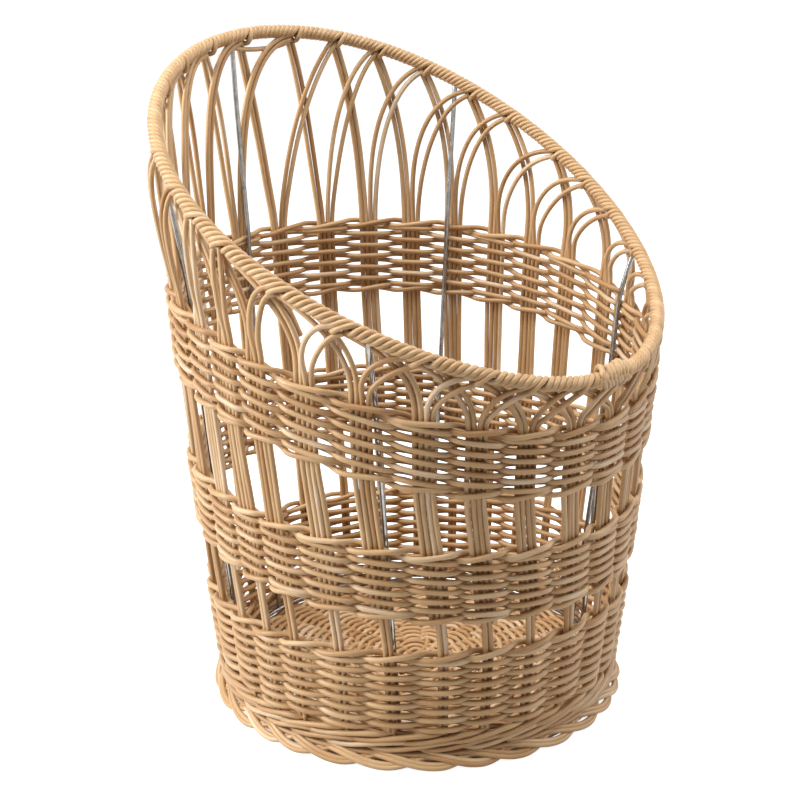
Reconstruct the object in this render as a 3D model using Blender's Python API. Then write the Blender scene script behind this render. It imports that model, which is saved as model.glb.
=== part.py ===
"""Baguette basket: a round basket of woven cane on a steel wire frame.

The rim is high at the back (+Y) and low at the front (-Y). Thirty bundles of upright canes pass
through three woven bands and cross as arches under the wrapped rim.
"""
import math

import bmesh
import bpy
from mathutils import Vector

# Counts
BUNDLES = 30
RODS = 6
SLICES = 60
SIDES = 6
WRAP_SIDES = 10
ARCH_STEPS = 7
ROD_STEPS = 5
RIM_SAMPLES = 48
LOWER_ROWS = 18
FLOOR_STICKS = 32

# The cane and the wire that everything is made of
CANE = 0.0041
WIRE = 0.004
GAP = 0.0003
SLOT_CLEARANCE = 0.0004

# Outside of the wall: its radius at the foot, at the waist and at the rim's highest point
BASE_RADIUS = 0.165
WAIST_RADIUS = 0.1915
TOP_RADIUS = 0.20694
WAIST_HEIGHT = 0.26

# Heights of the rim's centre line
RIM_FRONT = 0.3001
RIM_SIDE = 0.4039
RIM_BACK = 0.5184
RIM_SKEW = 0.0054
RIM_INSET = 0.0061
HOOP = 0.0044

# Top of the lower band, and the edges of the two bands above it as shares of the way up from
# there to the rim, at the front, the sides and the back
LOWER_TOP = 0.099
UPPER_TOP_SHARES = (0.8454, 0.7488, 0.6035)
UPPER_BOTTOM_SHARES = (0.5863, 0.5431, 0.4499)
MIDDLE_TOP_SHARES = (0.3948, 0.3326, 0.2835)
MIDDLE_BOTTOM_SHARES = (0.1149, 0.1348, 0.1464)

# The lower band's thick rows above the foot, and what covers a bundle where a row runs behind it
WALING = 0.0195
SKIN = 0.001

# The foot and the floor
FOOT_OVERHANG = 0.0042
FOOT_WIDTH = 0.0145
FOOT_HEIGHT = 0.012
FOOT_SCALLOP = 0.0012
FOOT_CHAMFER = 0.003
FLOOR_RISE = 0.0015
FLOOR_THICKNESS = 0.0095
FLOOR_ROW = 0.0044
FLOOR_RELIEF = 0.0042
FLOOR_HUB = 0.021

# How the upright canes run above the upper band
LAYER_OFFSET = 0.0028
GROOVE = 0.0008
COLLAR = 0.005
BYE_START = 0.004
BYE_TAPER = 0.008

# How far below the rim's centre line a rod turns straight up into the hoop
ROD_KNEE = 0.0088

# Angles, and shares of the angle between two bundles
TURN = 2 * math.pi
SHARP_ANGLE = math.radians(50)
FIRST_BUNDLE = math.radians(10.6)
FIRST_ROD = math.radians(34.6)
ROD_LEAN_SHARE = 0.5
ROD_BEND_SHARE = 0.5
ARCH_REACH_SHARE = 0.86
DOWNHILL_STEEP_SHARE = 0.6
UPHILL_STEEP_SHARE = 0.42
DOWNHILL_REACH_SHARE = 0.42
UPHILL_REACH_SHARE = 0.66
DOWNHILL_RISE_SHARE = 0.92
UPHILL_RISE_SHARE = 0.72
SCALLOP_SHARE = 0.5
LAYER_SHARE = 0.14
CUT_SHARE = 0.01

# Values worked out from the ones above
CANE_RADIUS = CANE / 2
WIRE_RADIUS = WIRE / 2
WALL = 3 * CANE
PITCH = TURN / BUNDLES
WRAP_INNER = HOOP / 2 + GAP
WRAP_OUTER = HOOP / 2 + CANE
SEAT = WRAP_OUTER + GAP
FOOT_RADIUS = BASE_RADIUS + FOOT_OVERHANG
FLOOR_TOP = FLOOR_RISE + FLOOR_THICKNESS
RING_HEIGHT = FLOOR_TOP + GAP + WIRE_RADIUS
BAND_START = FOOT_HEIGHT + GAP
RIM_HEIGHTS = (RIM_FRONT, RIM_SIDE, RIM_BACK)


def remove_everything():
    for item in list(bpy.data.objects):
        bpy.data.objects.remove(item, do_unlink=True)


def make_material(name, color, roughness, metallic):
    material = bpy.data.materials.new(name)
    material.use_nodes = True
    shader = material.node_tree.nodes["Principled BSDF"]
    shader.inputs["Base Color"].default_value = (*color, 1)
    shader.inputs["Roughness"].default_value = roughness
    shader.inputs["Metallic"].default_value = metallic
    return material


def add_object(name, body, material, smooth=False):
    """Make one object from a closed body: a list of corners and a list of faces."""
    corners, faces = body
    mesh = bpy.data.meshes.new(name)
    mesh.from_pydata(corners, [], faces)
    shell = bmesh.new()
    shell.from_mesh(mesh)
    bmesh.ops.recalc_face_normals(shell, faces=shell.faces)
    shell.to_mesh(mesh)
    shell.free()
    mesh.materials.append(material)
    if smooth:
        mesh.shade_smooth()
        mesh.set_sharp_from_angle(angle=SHARP_ANGLE)
    item = bpy.data.objects.new(name, mesh)
    bpy.context.collection.objects.link(item)
    return item


def blend(low, high, share):
    return low + (high - low) * share


def wall_radius(height):
    """Outer radius of the wall: the parabola through its three named radii."""
    low_half = (WAIST_RADIUS - BASE_RADIUS) / WAIST_HEIGHT
    high_half = (TOP_RADIUS - WAIST_RADIUS) / (RIM_BACK - WAIST_HEIGHT)
    bow = (high_half - low_half) / RIM_BACK
    return BASE_RADIUS + low_half * height + bow * height * (height - WAIST_HEIGHT)


def edge_height(heights, angle):
    """Height of a tilted edge that passes through its front, side and back heights."""
    front, side, back = heights
    level = (front + back) / 2
    dip = (side - level) / 2
    return (side + level) / 2 + (back - front) / 2 * math.sin(angle) + dip * math.cos(2 * angle)


def above_lower_band(shares):
    """Heights at shares of the way from the lower band to the rim, at the front, side and back."""
    return [blend(LOWER_TOP, rim, share) for rim, share in zip(RIM_HEIGHTS, shares)]


def rim_height(angle):
    return edge_height(RIM_HEIGHTS, angle) + RIM_SKEW * math.sin(2 * angle)


def rim_radius(angle):
    return wall_radius(rim_height(angle)) - RIM_INSET


# The edges of the bands at the front, the sides and the back
UPPER_TOP = above_lower_band(UPPER_TOP_SHARES)
UPPER_BOTTOM = above_lower_band(UPPER_BOTTOM_SHARES)
MIDDLE_TOP = above_lower_band(MIDDLE_TOP_SHARES)
MIDDLE_BOTTOM = above_lower_band(MIDDLE_BOTTOM_SHARES)

# The basket's axis is moved so that the middle of its box is at the origin
AXIS_Y = (rim_radius(-TURN / 4) - rim_radius(TURN / 4)) / 2


def place(angle, radius, height):
    return Vector((radius * math.cos(angle), AXIS_Y + radius * math.sin(angle), height))


def loft(rings, closed):
    """Faces that join rings of corners into a tube, capped unless its ends meet."""
    sides = len(rings[0])
    corners = [corner for ring in rings for corner in ring]
    faces = []
    steps = len(rings) if closed else len(rings) - 1
    for step in range(steps):
        here = step * sides
        there = (step + 1) % len(rings) * sides
        for side in range(sides):
            after = (side + 1) % sides
            faces.append([here + side, there + side, there + after, here + after])
    if not closed:
        last = (len(rings) - 1) * sides
        faces.append(list(range(sides)))
        faces.append([last + side for side in reversed(range(sides))])
    return corners, faces


def circle_ring(angle, radius, height, tube, sides):
    """A circle of corners in the upright plane at an angle, round a point of a hoop."""
    ring = []
    for side in range(sides):
        turn = TURN * side / sides
        ring.append(place(angle, radius + tube * math.cos(turn), height + tube * math.sin(turn)))
    return ring


def rod_ring(center, ahead, angle):
    """A circle of corners round a point of a rod, square to the way ahead."""
    across = Vector((-math.sin(angle), math.cos(angle), 0)) * WIRE_RADIUS
    inward = across.cross(ahead)
    ring = []
    for side in range(SIDES):
        turn = TURN * side / SIDES
        ring.append(center + across * math.cos(turn) + inward * math.sin(turn))
    return ring


def way_ahead(points, index):
    before = points[max(index - 1, 0)]
    after = points[min(index + 1, len(points) - 1)]
    return (after - before).normalized()


def slice_angles():
    return [FIRST_ROD + TURN * step / SLICES for step in range(SLICES)]


def foot_border(material):
    """The ring that the basket stands on, flat below and scalloped outside."""
    rings = []
    for index, angle in enumerate(slice_angles()):
        outer = FOOT_RADIUS - FOOT_SCALLOP * (index % 2)
        inner = FOOT_RADIUS - FOOT_WIDTH
        profile = (
            (outer, FOOT_CHAMFER),
            (outer, FOOT_HEIGHT - FOOT_CHAMFER),
            (outer - FOOT_CHAMFER, FOOT_HEIGHT),
            (inner, FOOT_HEIGHT),
            (inner, 0),
            (FOOT_RADIUS - FOOT_SCALLOP - FOOT_CHAMFER, 0),
        )
        rings.append([place(angle, radius, height) for radius, height in profile])
    add_object("foot_border", loft(rings, True), material)


def base_floor(material):
    """The round floor: its rows of cane rise over every second stick and dip at the others."""
    outer = FOOT_RADIUS - FOOT_WIDTH - GAP
    rows = round((outer - FLOOR_HUB) / FLOOR_ROW)
    rings = [[(outer, FLOOR_RISE)] * FLOOR_STICKS]
    for row in range(rows + 1):
        radius = blend(outer, FLOOR_HUB, row / rows)
        ring = []
        for stick in range(FLOOR_STICKS):
            dips = (row + stick) % 2 and 0 < row < rows
            ring.append((radius, FLOOR_TOP - FLOOR_RELIEF if dips else FLOOR_TOP))
        rings.append(ring)
    angles = [FIRST_BUNDLE / 2 + TURN * stick / FLOOR_STICKS for stick in range(FLOOR_STICKS)]
    rings = [[place(a, *spot) for a, spot in zip(angles, ring)] for ring in rings]
    add_object("base_floor", loft(rings, False), material)


def base_ring(material):
    """The wire ring that lies on the floor, inside both the wall and the foot border."""
    inside = min(wall_radius(RING_HEIGHT) - WALL, FOOT_RADIUS - FOOT_WIDTH)
    radius = inside - GAP - WIRE_RADIUS
    rings = [circle_ring(a, radius, RING_HEIGHT, WIRE_RADIUS, SIDES) for a in slice_angles()]
    add_object("base_ring", loft(rings, True), material, smooth=True)


def rod_angle(number):
    return FIRST_ROD + TURN * number / RODS


def frame_rod(number, material):
    """A wire rod from the base ring up the inside of the wall, and then out to the hoop.

    It leans: its foot is further round the basket than its top.
    """
    top = rod_angle(number)
    rim = rim_height(top)
    foot = RING_HEIGHT + WIRE_RADIUS + GAP
    knee = rim - ROD_KNEE
    bend = blend(edge_height(UPPER_TOP, top) + COLLAR, knee, ROD_BEND_SHARE)
    points = []
    for step in range(ROD_STEPS + 1):
        height = blend(foot, bend, step / ROD_STEPS)
        angle = top + ROD_LEAN_SHARE * PITCH * (knee - height) / (knee - foot)
        points.append(place(angle, wall_radius(height) - WALL - GAP - WIRE_RADIUS, height))
    points.append(place(top, rim_radius(top), knee))
    margin = WIRE_RADIUS / rim_radius(top)
    slant = abs(rim_height(top + margin) - rim_height(top - margin)) / 2
    points.append(place(top, rim_radius(top), rim - HOOP / 2 - GAP - slant))
    rings = []
    for index, point in enumerate(points):
        ahead = way_ahead(points, index)
        if index in (0, len(points) - 1):
            ahead = Vector((0, 0, 1))
        rings.append(rod_ring(point, ahead, top))
    add_object(f"frame_rod_{number + 1}", loft(rings, False), material, smooth=True)


def rim_hoop(material):
    """The steel hoop inside the rim, on which the rods stand."""
    rings = []
    for angle in slice_angles():
        rings.append(circle_ring(angle, rim_radius(angle), rim_height(angle), HOOP / 2, SIDES))
    add_object("rim_hoop", loft(rings, True), material, smooth=True)


def rim_wrap(number, material):
    """The cane wound round the hoop between one rod and the next, as a tube open at both ends."""
    start = rod_angle(number)
    steps = SLICES // RODS
    margin = (WIRE_RADIUS + SLOT_CLEARANCE) / rim_radius(start)
    angles = [start + TURN * step / SLICES for step in range(steps + 1)]
    angles[0] += margin
    angles[-1] -= margin
    rings = []
    for angle in angles:
        radius = rim_radius(angle)
        height = rim_height(angle)
        outer = circle_ring(angle, radius, height, WRAP_OUTER, WRAP_SIDES)
        inner = circle_ring(angle, radius, height, WRAP_INNER / math.cos(TURN / 2 / SIDES), SIDES)
        rings.append((outer, inner))
    add_object(f"rim_wrap_{number + 1}", pipe(rings), material, smooth=True)


def pipe(rings):
    """An open-ended pipe from pairs of outer and inner rings with unlike side counts."""
    corners = []
    faces = []
    outer_count = len(rings[0][0])
    inner_count = len(rings[0][1])
    stride = outer_count + inner_count
    for outer, inner in rings:
        corners.extend(outer)
        corners.extend(inner)
    for step in range(len(rings) - 1):
        here = step * stride
        there = here + stride
        for side in range(outer_count):
            after = (side + 1) % outer_count
            faces.append([here + side, there + side, there + after, here + after])
        for side in range(inner_count):
            after = (side + 1) % inner_count
            low = here + outer_count
            high = there + outer_count
            faces.append([low + side, low + after, high + after, high + side])
    last = (len(rings) - 1) * stride
    for triangle in annulus(outer_count, inner_count):
        faces.append(triangle)
        faces.append([last + index for index in reversed(triangle)])
    return corners, faces


def annulus(outer_count, inner_count):
    """Triangles between an outer and an inner ring, seen from the pipe's start."""
    triangles = []
    outer = 0
    inner = 0
    while outer < outer_count or inner < inner_count:
        outer_here = outer % outer_count
        inner_here = outer_count + inner % inner_count
        outer_share = (outer + 0.5) / outer_count
        inner_share = (inner + 0.5) / inner_count
        if inner == inner_count or (outer < outer_count and outer_share <= inner_share):
            triangles.append([outer_here, (outer + 1) % outer_count, inner_here])
            outer += 1
        else:
            inner_after = outer_count + (inner + 1) % inner_count
            triangles.append([outer_here, inner_after, inner_here])
            inner += 1
    return triangles


def row_levels(bottom, top, rows):
    """Heights across a band at its edges, at its border rows and at each plain row between."""
    if not rows:
        return [bottom, top]
    low = bottom + WALING
    high = top - 1.5 * CANE
    plain = [blend(low + CANE, high - CANE, row / (rows - 1)) for row in range(rows)]
    return [bottom, low, *plain, high, top]


def band_outline(bottom, top, canes, rows):
    """Corners of a woven band and their places in the list.

    A corner is named by its bundle, its column (0 and 1 beside the slot, 2 between bundles), its
    level and its layer, from 0 inside to 3 outside.
    """
    half_slot = canes * CANE / 2 + GAP / 2 + SLOT_CLEARANCE
    hollow = CANE_RADIUS + SLOT_CLEARANCE
    thin = CANE_RADIUS + SCALLOP_SHARE * CANE / 2
    corners = []
    index = {}

    def add(name, angle, height, offset):
        index[name] = len(corners)
        corners.append(place(angle, wall_radius(height) - WALL / 2 + offset, height))

    def heights(angle):
        return row_levels(edge_height(bottom, angle), edge_height(top, angle), rows)

    last = len(heights(0)) - 1
    for bundle in range(BUNDLES):
        middle = FIRST_BUNDLE + PITCH * bundle
        radius = wall_radius(edge_height(bottom, middle)) - WALL / 2
        for column, side in ((0, -1), (1, 1)):
            angle = middle + side * half_slot / radius
            for level, height in enumerate(heights(angle)):
                border = level < 2 or level > last - 2
                outer = WALL / 2 if border or (level + bundle) % 2 else hollow + SKIN
                inner = WALL / 2 if border or (level + bundle) % 2 == 0 else hollow + SKIN
                add((bundle, column, level, 0), angle, height, -inner)
                add((bundle, column, level, 3), angle, height, outer)
                if level in (0, last):
                    add((bundle, column, level, 1), angle, height, -hollow)
                    add((bundle, column, level, 2), angle, height, hollow)
        angle = middle + PITCH / 2
        for level, height in enumerate(heights(angle)):
            add((bundle, 2, level, 0), angle, height, -thin)
            add((bundle, 2, level, 3), angle, height, thin)
    return corners, index, last


def woven_band(name, bottom, top, canes, rows, material):
    """A woven band as a ring with a slot for each bundle, thinner between the bundles.

    Each plain row stands proud of every second bundle outside, and of the others inside.
    """
    corners, index, last = band_outline(bottom, top, canes, rows)
    faces = []

    def face(*names):
        faces.append([index[bundle % BUNDLES, *rest] for bundle, *rest in names])

    for bundle in range(BUNDLES):
        for column in range(3):
            here = (bundle, column)
            there = (bundle + 1, 0) if column == 2 else (bundle, column + 1)
            for low in range(last):
                high = low + 1
                face((*here, low, 3), (*there, low, 3), (*there, high, 3), (*here, high, 3))
                face((*here, low, 0), (*here, high, 0), (*there, high, 0), (*there, low, 0))
        left = (bundle, 0)
        right = (bundle, 1)
        between = (bundle, 2)
        onward = (bundle + 1, 0)
        face((*left, 0, 2), (*left, last, 2), (*right, last, 2), (*right, 0, 2))
        face((*left, 0, 1), (*right, 0, 1), (*right, last, 1), (*left, last, 1))
        face((*left, 0, 1), (*left, last, 1), (*left, last, 2), (*left, 0, 2))
        face((*right, 0, 1), (*right, 0, 2), (*right, last, 2), (*right, last, 1))
        for level in (0, last):
            flat = []
            for low, high in ((0, 1), (2, 3)):
                strip = [(*left, level, low), (*left, level, high)]
                flat.append([*strip, (*right, level, high), (*right, level, low)])
            ends = [(*between, level, 0), (*between, level, 3)]
            for column in (right, onward):
                layers = [(*column, level, layer) for layer in range(4)]
                pieces = [
                    [layers[0], layers[1], ends[0]],
                    [layers[1], layers[2], ends[1], ends[0]],
                    [layers[2], layers[3], ends[1]],
                ]
                if column is onward:
                    pieces = [piece[::-1] for piece in pieces]
                flat.extend(pieces)
            for piece in flat:
                face(*(piece if level == 0 else piece[::-1]))
    add_object(name, (corners, faces), material)


def curve_point(handles, share):
    """A point of the cubic curve with four handles."""
    rest = 1 - share
    weights = (rest ** 3, 3 * rest ** 2 * share, 3 * rest * share ** 2, share ** 3)
    return [sum(w * handle[axis] for w, handle in zip(weights, handles)) for axis in (0, 1)]


def rim_distance(point, near):
    """Least distance from a point to the rim's centre line near an angle."""
    distances = []
    for step in range(RIM_SAMPLES + 1):
        angle = near + PITCH * (step / RIM_SAMPLES - 1 / 2)
        rim = place(angle, rim_radius(angle), rim_height(angle))
        distances.append((point - rim).length)
    return min(distances)


def arch_handles(middle, hand, start):
    """Handles of an arch: the share of the way to the next bundle, and the height."""
    end = rim_height(middle + hand * PITCH)
    rise = end - start
    slope = (rim_height(middle) - end) / (RIM_BACK - RIM_FRONT) * BUNDLES / TURN
    downhill = min(max(0.5 + slope, 0), 1)
    steep = blend(UPHILL_STEEP_SHARE, DOWNHILL_STEEP_SHARE, downhill)
    reach = blend(UPHILL_REACH_SHARE, DOWNHILL_REACH_SHARE, downhill)
    near_end = blend(UPHILL_RISE_SHARE, DOWNHILL_RISE_SHARE, downhill)
    return (
        (0, start),
        (0, start + steep * rise),
        (reach, start + near_end * rise),
        (1, start + rise),
    )


def section(path, index):
    """The four corners of a pair of canes at one point of its path."""
    points = [place(a, wall_radius(z) - WALL / 2 + o, z) for a, o, z in path]
    angle, _, height = path[index]
    ahead = way_ahead(points, index)
    lean = wall_radius(height + CANE) - wall_radius(height)
    outward = Vector((CANE * math.cos(angle), CANE * math.sin(angle), -lean)).normalized()
    across = ahead.cross(outward).normalized()
    outward = across.cross(ahead).normalized()
    ring = []
    for sideways, out in ((-1, -1), (1, -1), (1, 1), (-1, 1)):
        ring.append(points[index] + across * sideways * CANE + outward * out * CANE_RADIUS)
    return ring


def upright_ring(middle, height, half_width):
    """Six corners across a bundle, with a groove down its middle."""
    center = wall_radius(height) - WALL / 2
    ring = []
    for side, out in ((-1, -1), (0, -1), (1, -1), (1, 1), (0, 1), (-1, 1)):
        depth = CANE_RADIUS if side else CANE_RADIUS - GROOVE
        ring.append(place(middle + side * half_width / center, center + out * depth, height))
    return ring


def arm_path(middle, hand, collar, length_share):
    """Places along the part of an arch that is kept: angle, offset outwards and height."""
    handles = arch_handles(middle, hand, collar)
    aside = CANE / (wall_radius(collar) - WALL / 2)
    path = [(middle + hand * aside, 0, collar)]
    for step in range(1, ARCH_STEPS + 1):
        share = length_share * step / ARCH_STEPS
        along, height = curve_point(handles, share)
        angle = middle + hand * (aside * (1 - share) + ARCH_REACH_SHARE * PITCH * along)
        path.append((angle, min(share / LAYER_SHARE, 1) * LAYER_OFFSET * hand, height))
    return path


def arm_rings(middle, hand, collar):
    """Sections of the pair of canes that leans to one hand, cut short where it meets the rim."""
    length_share = 1
    while True:
        path = arm_path(middle, hand, collar, length_share)
        end = section(path, ARCH_STEPS)
        if min(rim_distance(corner, path[-1][0]) for corner in end) >= SEAT:
            break
        length_share -= CUT_SHARE
    return [section(path, index) for index in range(1, len(path))]


def stake_bundle(number, material):
    """A bundle of upright canes: two below the middle band, four above, then a pair each way."""
    middle = FIRST_BUNDLE + PITCH * number
    bye = edge_height(MIDDLE_BOTTOM, middle) + BYE_START
    collar = edge_height(UPPER_TOP, middle) + COLLAR
    rings = []
    for height in (BAND_START, LOWER_TOP, bye):
        rings.append(upright_ring(middle, height, CANE))
    for height in (bye + BYE_TAPER, edge_height(UPPER_BOTTOM, middle), collar):
        rings.append(upright_ring(middle, height, 2 * CANE))
    corners = [corner for ring in rings for corner in ring]
    count = len(rings[0])
    faces = [list(range(count))]
    for step in range(len(rings) - 1):
        low = step * count
        for side in range(count):
            after = (side + 1) % count
            faces.append([low + side, low + after, low + count + after, low + count + side])
    top = (len(rings) - 1) * count
    for hand, start in ((-1, (0, 1, 4, 5)), (1, (1, 2, 3, 4))):
        below = [top + index for index in start]
        for ring in arm_rings(middle, hand, collar):
            above = list(range(len(corners), len(corners) + len(ring)))
            corners.extend(ring)
            for side in range(len(ring)):
                after = (side + 1) % len(ring)
                faces.append([below[side], below[after], above[after], above[side]])
            below = above
        faces.append(below)
    add_object(f"stake_bundle_{number + 1:02d}", (corners, faces), material)


def build():
    remove_everything()
    cane = make_material("cane", (0.56, 0.41, 0.26), 0.6, 0)
    steel = make_material("steel", (0.62, 0.61, 0.6), 0.25, 1)
    foot_border(cane)
    base_floor(cane)
    base_ring(steel)
    rim_hoop(steel)
    for number in range(RODS):
        frame_rod(number, steel)
        rim_wrap(number, cane)
    woven_band("lower_band", (BAND_START,) * 3, (LOWER_TOP,) * 3, 2, LOWER_ROWS, cane)
    woven_band("middle_band", MIDDLE_BOTTOM, MIDDLE_TOP, 4, 0, cane)
    woven_band("upper_band", UPPER_BOTTOM, UPPER_TOP, 4, 0, cane)
    for number in range(BUNDLES):
        stake_bundle(number, cane)


build()
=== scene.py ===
"""Looks of the baguette basket: each cane is its own strand, woven the way the basket is."""
import math

import bpy
import numpy as np
from mathutils import Matrix, Vector


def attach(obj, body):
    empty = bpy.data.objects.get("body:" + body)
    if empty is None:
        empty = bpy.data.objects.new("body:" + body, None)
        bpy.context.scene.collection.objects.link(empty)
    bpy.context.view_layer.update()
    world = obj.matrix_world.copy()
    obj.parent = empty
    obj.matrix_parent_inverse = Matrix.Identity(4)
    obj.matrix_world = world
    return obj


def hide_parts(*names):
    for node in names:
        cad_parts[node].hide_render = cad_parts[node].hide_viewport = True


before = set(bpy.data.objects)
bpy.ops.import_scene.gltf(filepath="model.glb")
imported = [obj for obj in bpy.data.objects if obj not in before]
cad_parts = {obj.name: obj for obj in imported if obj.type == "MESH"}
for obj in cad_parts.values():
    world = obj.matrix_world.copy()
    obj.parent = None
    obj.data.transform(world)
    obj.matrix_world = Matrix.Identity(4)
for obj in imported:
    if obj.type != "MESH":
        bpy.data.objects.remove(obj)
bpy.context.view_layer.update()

TURN = 2 * math.pi
UPWARD = (0, 0, 1)

# Counts
BUNDLES = 30
BUNDLE_CANES = 4
RODS = 6
FLOOR_STICKS = 32

# Points along a plain row, along a row of crossing canes and along a level ring, and the sides
# of a cane and of a wire
PLAIN_POINTS = 300
CROSSING_POINTS = 360
RING_POINTS = 180
CANE_SIDES = 8
WIRE_SIDES = 16

# Sizes of the part, in metres
CANE = 0.0041
WIRE = 0.004
GAP = 0.0003
BASE_RADIUS = 0.165
WAIST_RADIUS = 0.1915
TOP_RADIUS = 0.20694
WAIST_HEIGHT = 0.26
RIM_SKEW = 0.0054
RIM_INSET = 0.0061
HOOP = 0.0044
LOWER_TOP = 0.099
FOOT_RADIUS = 0.1692
FOOT_WIDTH = 0.0145
FOOT_HEIGHT = 0.012
FLOOR_RISE = 0.0015
FLOOR_TOP = 0.011
ROD_KNEE = 0.0088
FIRST_BUNDLE = math.radians(10.6)
FIRST_ROD = math.radians(34.6)
ROD_LEAN = math.radians(5)

# Heights at the front, the sides and the back: of the rim in metres, and of the edges of the
# bands as shares of the way from the lower band to the rim
RIM_HEIGHTS = (0.3001, 0.4039, 0.5184)
UPPER_TOP_SHARES = (0.8454, 0.7488, 0.6035)
UPPER_BOTTOM_SHARES = (0.5863, 0.5431, 0.4499)
MIDDLE_TOP_SHARES = (0.3948, 0.3326, 0.2835)
MIDDLE_BOTTOM_SHARES = (0.1149, 0.1348, 0.1464)

# Where each bundle of uprights stands at the upper band, and where the arches that end over it
# meet the rim, in degrees
BUNDLE_PLACES = (
    12, 22.5, 34.5, 46, 57.5, 69.5, 83.5, 97, 109, 121,
    132.5, 144.5, 156.5, 168.5, 178.5, 187.5, 200, 212.5, 226, 237.5,
    249.5, 262.5, 275.5, 287.5, 299, 311, 322.5, 334.5, 346, 360.5,
)
KNOT_PLACES = (
    7, 21, 31, 43, 55, 65.5, 77.5, 92, 104.5, 116,
    127.5, 139, 150.5, 162, 170.5, 179.5, 194.5, 209.5, 225, 238,
    250, 263.5, 276, 288, 300, 311.5, 323, 335, 347, 357,
)

# How far the uprights lean between the upper and the lower band, in degrees: the mean, how much
# it changes round the basket, and the angle at which they lean most
LEAN = 1.8
LEAN_CHANGE = 3.5
LEAN_MOST_AT = math.radians(235)

# Seeds of the random differences
MIDDLE_SEED = 21
UPPER_SEED = 34
LOWER_SEED = 5
STAKE_SEED = 100
ARCH_SEED = 7
RIM_SEED = 9
FOOT_SEED = 3
FLOOR_SEED = 8

RADIUS = CANE / 2
WALL = 3 * CANE
PITCH = TURN / BUNDLES
RING_HEIGHT = FLOOR_TOP + GAP + WIRE / 2
BAND_START = FOOT_HEIGHT + GAP
RIM_FRONT = RIM_HEIGHTS[0]
RIM_BACK = RIM_HEIGHTS[2]


def wall_radius(height):
    """Radius of the wall's outside, through the base, the waist and the top."""
    low_slope = (WAIST_RADIUS - BASE_RADIUS) / WAIST_HEIGHT
    high_slope = (TOP_RADIUS - WAIST_RADIUS) / (RIM_BACK - WAIST_HEIGHT)
    bow = (high_slope - low_slope) / RIM_BACK
    return BASE_RADIUS + low_slope * height + bow * height * (height - WAIST_HEIGHT)


def middle_radius(height):
    """Radius of the middle of the wall, where the uprights stand."""
    return wall_radius(height) - WALL / 2


def edge_height(heights, angle):
    """Height of a tilted edge, from its heights at the front, the sides and the back."""
    front, side, back = heights
    level = (front + back) / 2
    dip = (side - level) / 2
    return (side + level) / 2 + (back - front) / 2 * np.sin(angle) + dip * np.cos(2 * angle)


def above_lower_band(shares):
    return [LOWER_TOP + (rim - LOWER_TOP) * share for rim, share in zip(RIM_HEIGHTS, shares)]


def rim_height(angle):
    return edge_height(RIM_HEIGHTS, angle) + RIM_SKEW * np.sin(2 * angle)


def rim_radius(angle):
    return wall_radius(rim_height(angle)) - RIM_INSET


AXIS_Y = (rim_radius(-TURN / 4) - rim_radius(TURN / 4)) / 2
UPPER_TOP = above_lower_band(UPPER_TOP_SHARES)
UPPER_BOTTOM = above_lower_band(UPPER_BOTTOM_SHARES)
MIDDLE_TOP = above_lower_band(MIDDLE_TOP_SHARES)
MIDDLE_BOTTOM = above_lower_band(MIDDLE_BOTTOM_SHARES)


def place(angle, radius, height):
    """Places at an angle and a radius round the basket's axis."""
    angle, radius, height = np.broadcast_arrays(angle, radius, height)
    return np.stack([radius * np.cos(angle), AXIS_Y + radius * np.sin(angle), height], -1)


def on_wall(angle, height, out):
    """Places at a distance outside the middle of the wall."""
    return place(angle, middle_radius(height) + out, height)


def outward(angle):
    return np.stack([np.cos(angle), np.sin(angle), 0 * angle], -1)


def unit(vectors):
    return vectors / np.linalg.norm(vectors, axis=-1, keepdims=True)


def table_angle(places, index):
    """The angle at a place between the entries of a table that goes once round the basket."""
    places = np.radians(places)
    ring = np.concatenate([places[-2:] - TURN, places, places[:2] + TURN])
    return np.interp(index, np.arange(-2, BUNDLES + 2), ring)


def bundle_angle(index, height):
    """Where a bundle stands at a height: below the upper band the uprights lean."""
    angle = table_angle(BUNDLE_PLACES, index)
    low = edge_height(UPPER_BOTTOM, angle)
    lean = np.radians(LEAN + LEAN_CHANGE * np.cos(angle - LEAN_MOST_AT))
    return angle + lean * np.clip((low - height) / (low - LOWER_TOP), 0, 1)


# How many waves a wobble adds up, and what each is divided by
WOBBLE_WAVES = 4
WOBBLE_DIVISOR = 2.5


def wobble(angle, chance, fewest, most):
    """A smooth wave round the basket, between about -1 and 1."""
    wave = 0
    for count in chance.integers(fewest, most, WOBBLE_WAVES):
        wave = wave + np.sin(count * angle + chance.uniform(0, TURN)) / WOBBLE_DIVISOR
    return wave


def flattened(wave, grip):
    """A wave with flat tops, for a cane that bends sharply between the uprights it passes."""
    return np.tanh(grip * wave) / math.tanh(grip)


def nearest(value, whole):
    """A distance on a ring, taken the shorter way round."""
    return (value + whole / 2) % whole - whole / 2


def smooth_path(points, count):
    """A curve through points, with the same number of steps between each two of them."""
    points = np.asarray(points, float)
    padded = np.concatenate([2 * points[:1] - points[1:2], points, 2 * points[-1:] - points[-2:-1]])
    spots = np.linspace(0, len(points) - 1, count)
    index = np.minimum(spots.astype(int), len(points) - 2)
    t = (spots - index)[:, None]
    a, b, c, d = (padded[index + step] for step in range(4))
    bend = 2 * a - 5 * b + 4 * c - d
    return 0.5 * (2 * b + (c - a) * t + bend * t ** 2 + (3 * b - a - 3 * c + d) * t ** 3)


def curve_point(handles, share):
    """Places along a curve that four handles pull."""
    rest = 1 - share
    weights = np.stack([rest ** 3, 3 * rest ** 2 * share, 3 * rest * share ** 2, share ** 3], -1)
    return weights @ np.asarray(handles, float)


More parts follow.
